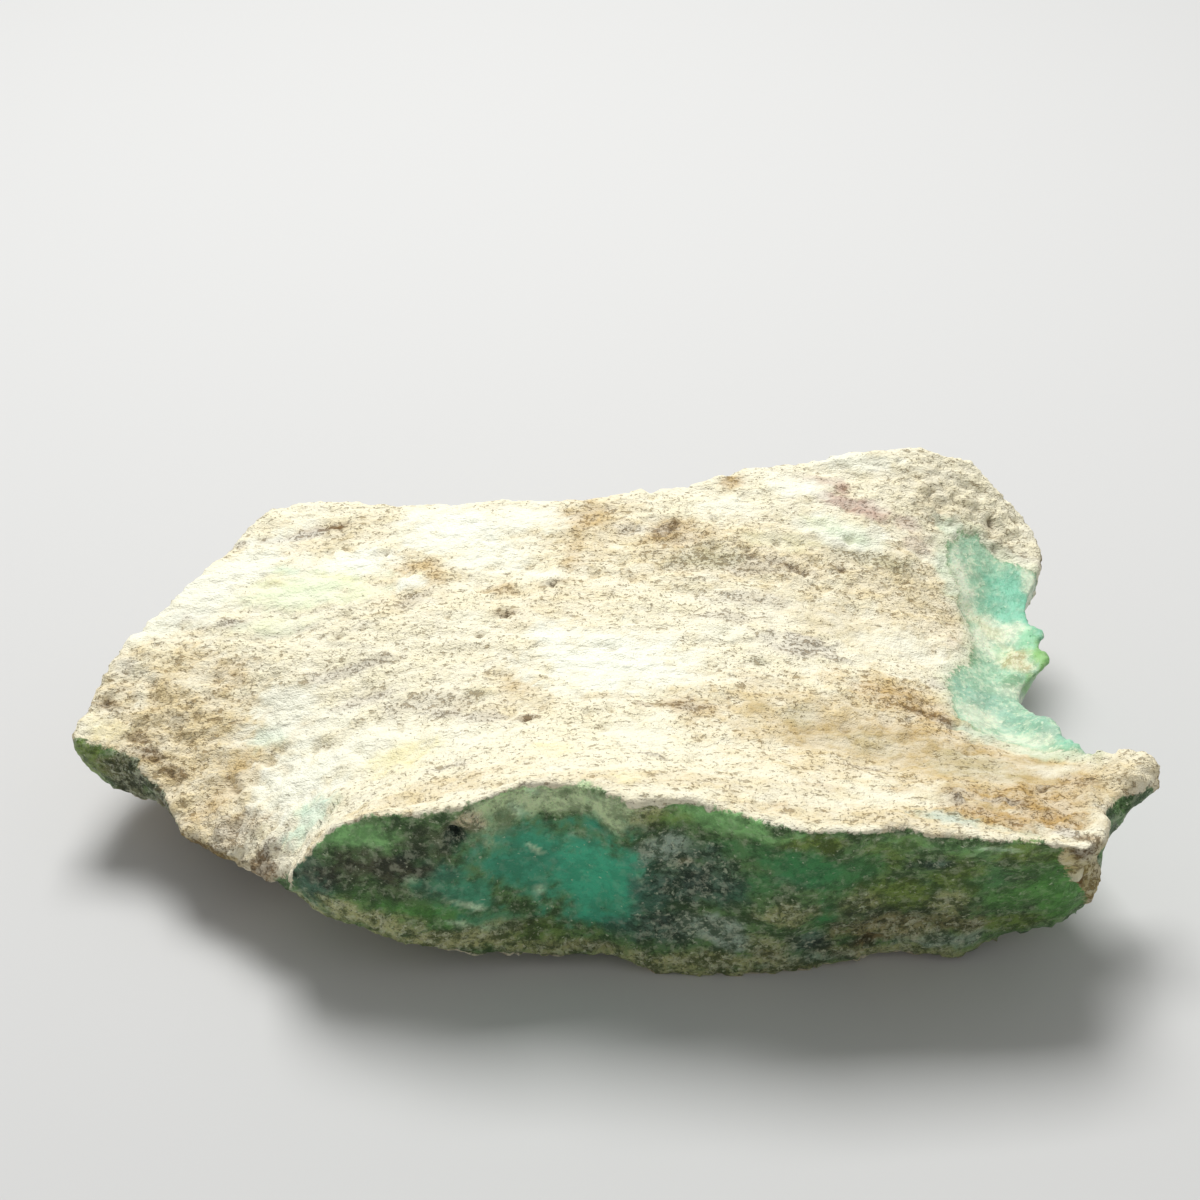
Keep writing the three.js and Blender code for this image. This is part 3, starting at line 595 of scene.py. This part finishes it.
def side_crust(points):
    """The crust where no spots are placed: its colours come in patches from noise."""
    (_, colour, amount), *others = SIDE_CRUST
    paint = np.tile(coat(colour, amount), (len(points), 1))
    for seed, (_, colour, amount) in enumerate(others):
        patches = noise(points, SIDE_PATCHES, 100 + seed)
        ragged = rough(points, SIDE_RAGGED, 90 + 5 * seed, 5, 0.7)
        field = smoothstep(-0.05, 0.4, patches + ragged)
        paint = mix(paint, coat(colour, amount), field[:, None])
    ragged = 0.4 * rough(points, 1.6, 120, 3)
    for middle, radius, colour, amount in CORNER_STAINS:
        away = np.linalg.norm(points - middle, axis=1) / radius + ragged
        field = CORNER_STRENGTH * smoothstep(1, 0.5, away)
        paint = mix(paint, coat(colour, amount), field[:, None])
    return paint


def survey(points, normals):
    """Where each point is: how far inside the green breaks, how far inside the scoop, and
    whether it is on the rim of the top above the front break."""
    wobble = sum(height * rough(points, width, seed) for height, width, seed in EDGE_WOBBLES)
    left, past, _ = beside(points, LEDGE)
    scoop = np.minimum(left, -past)
    front, tip, spur = (below(points, edge) for edge in (FRONT_EDGE, TIP_EDGE, SPUR_EDGE))
    underside = UNDERSIDE_GAIN * (normals[:, 2] + UNDERSIDE_TILT)
    breaks = np.minimum(np.maximum.reduce([scoop, front, tip, spur]), underside)
    frosted = smoothstep(-1.5, 1, scoop) * smoothstep(-12, -8, points[:, 1])
    before_end = smoothstep(FRONT_END + 0.5, FRONT_END - 0.5, points[:, 0])
    return {
        "break": (breaks + wobble) * mix(1, FROSTED_SHARE, frosted),
        "scoop": scoop + wobble,
        "rim": smoothstep(-2.5, -1, front) * before_end,
    }


def bumps(points, spots):
    """The height of round bumps of the top face, given by middle, radius and height."""
    height = np.zeros(len(points))
    for x, y, radius, tall in spots:
        away = np.hypot(points[:, 0] - x, points[:, 1] - y) / radius
        height += tall * smoothstep(1.5, 0.2, away)
    return height


def knobs(points):
    """The height of the knobs, and the depth of the dents below zero."""
    height = np.zeros(len(points))
    for *middle, radius, tall in KNOBS:
        away = np.linalg.norm(points - middle, axis=1) / radius
        height += tall * smoothstep(1.3, 0.1, away)
    return height


def pits(points):
    """Small round hollows, scattered: 1 in the middle of one and 0 between them."""
    scaled = points / PIT_SPACING
    cell = np.floor(scaled).astype(np.int64)
    nearest = np.full(len(points), np.inf)
    for corner in itertools.product((-1, 0, 1), repeat=3):
        around = cell + corner
        middle = around + 0.5 + 0.45 * direction_of(around + PIT_SEED)
        nearest = np.minimum(nearest, ((scaled - middle) ** 2).sum(axis=1))
    return smoothstep(0.5, 0.1, np.sqrt(nearest))


def crust_height(points, normals, place, marks, top):
    """The crust: how far it stands out, with its lumps, grain, terraces and pits."""
    coarse = spot_field(points[:, 0], points[:, 1], COARSE, 0.5 * noise(points, 3, 65))
    coarse = mix(SIDE_COARSENESS, coarse, smoothstep(-0.2, 0.2, normals[:, 2]))
    grain = mix(*CRUST_GRAIN_HEIGHTS, coarse) * rough(points, CRUST_GRAIN_WIDTH, 55, 3, 0.8)
    lumps = LUMP_HEIGHT * rough(points, LUMP_WIDTH, 50, 3) + grain
    level = TERRACE_LEVELS * rough(points, TERRACE_WIDTHS, 40, 4)
    terraces = (np.floor(level) + smoothstep(0.55, 1, level % 1)) / TERRACE_LEVELS
    holes = pits(points) * smoothstep(0.1, 0.5, noise(points, 5, 60))
    rise = mix(CRUST_RISE, CRUST_RISE_AT_SCOOP, smoothstep(-3, -1, place["scoop"]))
    return rise + lumps + marks + TERRACE_HEIGHT * top * terraces - PIT_DEPTH * holes


def break_height(points, marks, grit):
    """The green breaks: broad waves, and a grain that is strongest where they are gritty."""
    waves = BREAK_WAVE_HEIGHT * rough(points, BREAK_WAVE_WIDTH, 70, 2)
    tall = mix(*BREAK_GRAIN_HEIGHTS, np.clip(grit, 0, 1))
    grain = tall * rough(points, BREAK_GRAIN_WIDTH, 75, 3, 0.8)
    return waves + grain - BREAK_SINK + marks


def relief(points, normals, place, grit):
    """How far each point of the smooth stone moves out along its normal."""
    top = smoothstep(0.3, 0.8, normals[:, 2])
    marks = top * (bumps(points, LUMPS) - bumps(points, HOLLOWS))
    crust = crust_height(points, normals, place, marks, top)
    green = smoothstep(-0.3, 0.3, place["break"])
    return knobs(points) + mix(crust, break_height(points, marks, grit), green)


def crust_coat(points, normals, place):
    """The crust's colour, and how flecked it is in a fourth column."""
    x, y, _ = points.T
    above = painted(coat(CREAM, CREAM_FLECKS), STAINS, x, y, points, STAINS_RAGGED)
    # Painted shade: the small hollows of the top are darkened with a dark brown.
    shaded_hollows = HOLLOW_SHADE_STRENGTH * smoothstep(0.12, 0.4, bumps(points, HOLLOWS))
    above = mix(above, coat(HOLLOW_SHADE, HOLLOW_SHADE_FLECKS), shaded_hollows[:, None])
    thin = smoothstep(-1.4, 0, place["scoop"] + 0.5 * rough(points, 1.5, 17))
    above = mix(above, coat(THIN_CRUST, THIN_FLECKS), THIN_STRENGTH * thin[:, None])
    top = smoothstep(-0.05, 0.3, normals[:, 2] + 0.2 * rough(points, 2, 15))
    top = np.maximum.reduce([top, smoothstep(-2.5, -1, place["scoop"]), place["rim"]])
    return mix(side_crust(points), above, top[:, None])


def green_coat(points, place):
    """The green stone's colour, how gritty the front is and how frosted the scoop is."""
    x, y, z = points.T
    front = painted(coat(LEAF, LEAF_GRIT), FRONT_ZONES, x, z, points, FRONT_RAGGED)
    drift = SCOOP_DRIFT * smoothstep(*SCOOP_DRIFT_BETWEEN, z) * rough(points, (7, 7, 3), 130)
    scoop = painted(coat(JADE, JADE_FROST), SCOOP_ZONES, x, y + drift, points, SCOOP_RAGGED)
    front[:, :3] /= SHADE
    scoop[:, :3] /= SCOOP_SHADE
    inside = smoothstep(-0.5, 0.5, place["scoop"])
    colour = mix(front[:, :3], scoop[:, :3], inside[:, None])
    return colour, (1 - inside) * front[:, 3], inside * scoop[:, 3]


def store(mesh, name, values):
    """Stores a number, or the three shares of a colour, for each vertex."""
    if values.ndim == 1:
        layer = mesh.attributes.new(name, "FLOAT", "POINT")
        layer.data.foreach_set("value", values.astype(np.float32))
    else:
        layer = mesh.attributes.new(name, "FLOAT_COLOR", "POINT")
        opaque = np.hstack([np.clip(values, 0, 1), np.ones((len(values), 1))])
        layer.data.foreach_set("color", opaque.astype(np.float32).ravel())


def weather(mesh):
    """Gives the mesh the stone's broken, crusted surface, and stores what the material needs."""
    edges = read_edges(mesh)
    write_points(mesh, smoothed(read_points(mesh), edges))
    points = read_points(mesh)
    normals = read_normals(mesh)
    place = survey(points, normals)
    crust = crust_coat(points, normals, place)
    green, grit, frost = green_coat(points, place)
    points = points + normals * relief(points, normals, place, grit)[:, None]
    points[:, 2] = np.maximum(points[:, 2], 0)
    write_points(mesh, points)
    # How deep each vertex lies in a hollow, kept for the painted shade that darkens the crust there.
    cavity_shade = ((relax(points, edges, CAVITY_STEPS) - points) * normals).sum(axis=1)
    store(mesh, "painted_cavity_shade", np.clip(cavity_shade * CAVITY_GAIN, -1, 1))
    store(mesh, "edge", place["break"])
    store(mesh, "crust_colour", crust[:, :3])
    store(mesh, "crust_flecks", crust[:, 3])
    store(mesh, "green_colour", green)
    store(mesh, "green_grit", grit)
    store(mesh, "green_frost", frost)


class Graph:
    """A material's nodes, added one by one. A node's inputs are sockets or plain values."""

    def __init__(self, name):
        self.material = bpy.data.materials.new(name)
        self.material.use_nodes = True
        self.tree = self.material.node_tree
        self.tree.nodes.clear()

    def add(self, kind, inputs=(), **settings):
        node = self.tree.nodes.new("ShaderNode" + kind)
        for key, value in settings.items():
            setattr(node, key, value)
        for key, value in dict(inputs).items():
            if isinstance(value, bpy.types.NodeSocket):
                self.tree.links.new(value, node.inputs[key])
            else:
                node.inputs[key].default_value = value
        return node

    def surface(self, inputs):
        """Ends the material with one principled shader."""
        shader = self.add("BsdfPrincipled", inputs)
        self.add("OutputMaterial", {"Surface": shader.outputs[0]})
        return self.material

    def attribute(self, name, output="Fac"):
        return self.add("Attribute", attribute_name=name).outputs[output]

    def math(self, operation, a, b, clamp=False):
        return self.add("Math", {0: a, 1: b}, operation=operation, use_clamp=clamp).outputs[0]

    def times(self, a, b):
        return self.math("MULTIPLY", a, b)

    def minus(self, a, b):
        return self.math("SUBTRACT", a, b)

    def larger(self, a, b):
        return self.math("MAXIMUM", a, b)

    def over(self, value, threshold, gain):
        """How far a value is over a threshold, times the gain, from 0 to 1."""
        return self.math("MULTIPLY", self.minus(value, threshold), gain, clamp=True)

    def ramp(self, value, low, high, to_low=0.0, to_high=1.0):
        inputs = {"Value": value, "From Min": low, "From Max": high, "To Min": to_low, "To Max": to_high}
        return self.add("MapRange", inputs, interpolation_type="SMOOTHSTEP").outputs["Result"]

    def mix(self, share, a, b, blend="MIX"):
        """Mixes two colours. Each kind of value has an A and a B, and the colours' are 6 and 7."""
        inputs = {0: share, 6: a, 7: b}
        return self.add("Mix", inputs, data_type="RGBA", blend_type=blend).outputs[2]

    def noise(self, place, per_mm, detail, roughness, shares=(1, 1, 1)):
        """Noise with this many lumps to the millimetre, times the share of each axis."""
        scale = [per_mm * share / MM for share in shares]
        mapping = self.add("Mapping", {"Vector": place, "Scale": scale})
        inputs = {"Vector": mapping.outputs[0], "Scale": 1.0, "Detail": detail, "Roughness": roughness}
        return self.add("TexNoise", inputs).outputs[0]


# The noise patterns of the material: lumps to the millimetre, detail and roughness. Those that are
# drawn out along X have fewer lumps there, by the first of the three shares for X, Y and Z.
PATTERNS = {
    "fine": (2.6, 3, 0.65),
    "grains": (3.6, 3, 0.7),
    "streaks": (3, 3, 0.65, (0.5, 1, 1)),
    "crust_mottle": (0.7, 5, 0.75, (0.65, 1, 1)),
    "green_mottle": (0.8, 5, 0.75),
    "patches": (1.5, 4, 0.7),
}
# The light and the dark parts of the crust. A light part is mixed in and a dark one multiplied.
# The dark part is also the painted shade in the crust's hollows.
CRUST_LIGHT = (1.0, 0.97, 0.83, 1)
CRUST_LIGHT_SHARE = 0.42
CRUST_DARK = (0.46, 0.39, 0.31, 1)
CRUST_DARK_SHARE = 0.85
# How high the noise has to be for a fleck of the crust, where they are rare and where they are
# common, and how sharp, strong and deep flecks and specks are.
# Flecks and specks are dark grains of the crust, and partly painted shade of the tiny pits they dent.
FLECK_RARITY = (0.84, 0.58)
FLECK_GAIN = 18
FLECK_STRENGTH = 0.85
SPECK_GAIN = 16
SPECK_STRENGTH = 0.9
FLECK_DEPTH = 0.08
# The same for the green stone, with pale chips and dark holes.
GREEN_LIGHT = (0.86, 0.9, 0.66, 1)
GREEN_LIGHT_SHARE = 0.62
GREEN_DARK = (0.25, 0.3, 0.24, 1)
CHIP_RARITY = (0.67, 0.5)
HOLE_RARITY = (0.66, 0.54)
CHIP_GAIN = 12
CHIP_STRENGTH = 0.85
HOLE_DEPTH = 0.05
# How rough the crust and the green stone are, and how much light scatters inside each of them: how
# deep, in millimetres, and what share of that depth red, green and blue light reach.
ROUGHNESS = (0.92, 0.42)
SPECULAR = 0.35
SCATTERING = (0.0, 0.25)
SCATTER_DEPTH = 0.8
SCATTER_SHARES = (0.6, 1.0, 0.8)
# The crust gives way to the green stone between these two distances past the edge, which waves to
# and fro with the fine noise.
CHANGE_BETWEEN = (-0.08, 0.1)
CHANGE_WAVES = 0.7


def crust_finish(graph, patterns):
    """The crust's colour and the height of its fine relief, in millimetres."""
    mottle = patterns["crust_mottle"]
    tint = graph.attribute("crust_colour", "Color")
    light = graph.mix(CRUST_LIGHT_SHARE, tint, CRUST_LIGHT)
    dark = graph.mix(1.0, tint, CRUST_DARK, "MULTIPLY")
    colour = graph.mix(graph.ramp(mottle, 0.35, 0.65), light, tint)
    rarity = graph.ramp(graph.attribute("crust_flecks"), 0, 1, *FLECK_RARITY)
    rarity = graph.minus(rarity, graph.times(mottle, 0.2))
    # Dark flecks and specks: grains of the crust, and partly painted shade of the tiny pits they dent.
    flecks = graph.times(graph.over(patterns["streaks"], rarity, FLECK_GAIN), FLECK_STRENGTH)
    specks_and_pit_shade = graph.times(graph.over(patterns["grains"], rarity, SPECK_GAIN), SPECK_STRENGTH)
    marks = graph.larger(flecks, specks_and_pit_shade)
    # Painted shade: the crust is darker where it lies in a hollow.
    cavity_shade = graph.ramp(graph.attribute("painted_cavity_shade"), 0.2, 1, 0, 0.5)
    flecks_and_hollow_shade = graph.times(graph.larger(marks, cavity_shade), CRUST_DARK_SHARE)
    swell = graph.times(graph.minus(mottle, 0.5), 0.6)
    return graph.mix(flecks_and_hollow_shade, colour, dark), graph.minus(swell, graph.times(marks, FLECK_DEPTH))


def green_finish(graph, patterns):
    """The green stone's colour and the height of its fine relief, in millimetres."""
    fine = patterns["fine"]
    patches = patterns["patches"]
    tint = graph.attribute("green_colour", "Color")
    grit = graph.attribute("green_grit")
    deep = graph.mix(1.0, tint, GREEN_DARK, "MULTIPLY")
    pale = graph.mix(GREEN_LIGHT_SHARE, tint, GREEN_LIGHT)
    cloudy = graph.ramp(patterns["green_mottle"], 0.42, 0.58, 1, 0)
    cloudy = graph.times(cloudy, graph.ramp(grit, 0, 0.6, 0.3, 1))
    colour = graph.mix(cloudy, tint, deep)
    coarse = graph.larger(graph.ramp(grit, 0, 1, 0.12, 0.75), graph.attribute("green_frost"))
    lit = graph.times(graph.ramp(patches, 0.5, 0.64), coarse)
    colour = graph.mix(lit, colour, pale)
    chips = graph.over(fine, graph.ramp(coarse, 0, 1, *CHIP_RARITY), CHIP_GAIN)
    colour = graph.mix(graph.times(chips, CHIP_STRENGTH), colour, pale)
    holes = graph.over(patterns["grains"], graph.ramp(grit, 0, 1, *HOLE_RARITY), CHIP_GAIN)
    colour = graph.mix(graph.times(holes, CHIP_STRENGTH), colour, deep)
    swell = graph.minus(graph.math("ADD", patches, fine), 1)
    swell = graph.times(swell, graph.ramp(grit, 0, 0.8, 0.1, 0.5))
    return colour, graph.minus(swell, graph.times(holes, HOLE_DEPTH))


def stone_material():
    """Crust before the edge that is stored for each vertex, and green stone past it."""
    graph = Graph("chrysoprase")
    place = graph.add("TexCoord").outputs["Object"]
    patterns = {name: graph.noise(place, *settings) for name, settings in PATTERNS.items()}
    crust, crust_relief = crust_finish(graph, patterns)
    chalcedony, green_relief = green_finish(graph, patterns)
    wavy = graph.times(graph.minus(patterns["fine"], 0.5), CHANGE_WAVES)
    past_edge = graph.math("ADD", graph.attribute("edge"), wavy)
    green = graph.ramp(past_edge, *CHANGE_BETWEEN)
    height = graph.mix(green, crust_relief, green_relief)
    bump = graph.add("Bump", {"Strength": 1.0, "Distance": MM, "Height": height})
    return graph.surface({
        "Base Color": graph.mix(green, crust, chalcedony),
        "Roughness": graph.ramp(green, 0, 1, *ROUGHNESS),
        "Specular IOR Level": SPECULAR,
        "Subsurface Weight": graph.ramp(green, 0, 1, *SCATTERING),
        "Subsurface Radius": SCATTER_SHARES,
        "Subsurface Scale": SCATTER_DEPTH * MM,
        "Normal": bump.outputs[0],
    })


def make_stone():
    stone = smooth_copy()
    weather(stone.data)
    stone.data.transform(Matrix.Scale(MM, 4))
    stone.data.shade_smooth()
    stone.data.materials.clear()
    stone.data.materials.append(stone_material())
    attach(stone, "root")
    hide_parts(STONE)


def metres(place):
    return [length * MM for length in place]


def make_floor():
    bpy.ops.mesh.primitive_plane_add(size=FLOOR_SIZE * MM)
    floor = bpy.context.object
    floor.name = "floor"
    inputs = {"Base Color": FLOOR_COLOUR, "Roughness": FLOOR_ROUGHNESS}
    floor.data.materials.append(Graph("floor").surface(inputs))
    floor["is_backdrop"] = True


def make_camera():
    data = bpy.data.cameras.new("camera")
    data.sensor_width = SENSOR
    data.lens = SENSOR / 2 / math.tan(math.radians(CAMERA_ANGLE / 2))
    data.clip_start = CAMERA_NEAREST * MM
    camera = bpy.data.objects.new("camera", data)
    camera.location = metres(CAMERA_PLACE)
    camera.rotation_euler = (math.radians(90 - CAMERA_LOOKS_DOWN), 0, 0)
    bpy.context.scene.collection.objects.link(camera)
    bpy.context.scene.camera = camera


def make_key_light():
    data = bpy.data.lights.new("key", "AREA")
    data.size = KEY_SIZE * MM
    data.energy = KEY_POWER
    light = bpy.data.objects.new("key", data)
    light.location = metres(KEY_PLACE)
    away = light.location - Vector(metres(KEY_AIMS_AT))
    light.rotation_euler = away.to_track_quat("Z", "Y").to_euler()
    bpy.context.scene.collection.objects.link(light)


def make_sky():
    world = bpy.data.worlds.new("studio")
    world.use_nodes = True
    background = world.node_tree.nodes["Background"]
    background.inputs["Color"].default_value = (1, 1, 1, 1)
    background.inputs["Strength"].default_value = SKY_STRENGTH
    bpy.context.scene.world = world


def make_studio():
    view = bpy.context.scene.view_settings
    view.view_transform = "Standard"
    view.look = "None"
    make_sky()
    make_key_light()
    make_floor()


make_camera()
make_studio()
make_stone()

sizes = {"cad": cad_box, "visual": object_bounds()}
sizes = {name: [list(corner) for corner in box] for name, box in sizes.items()}
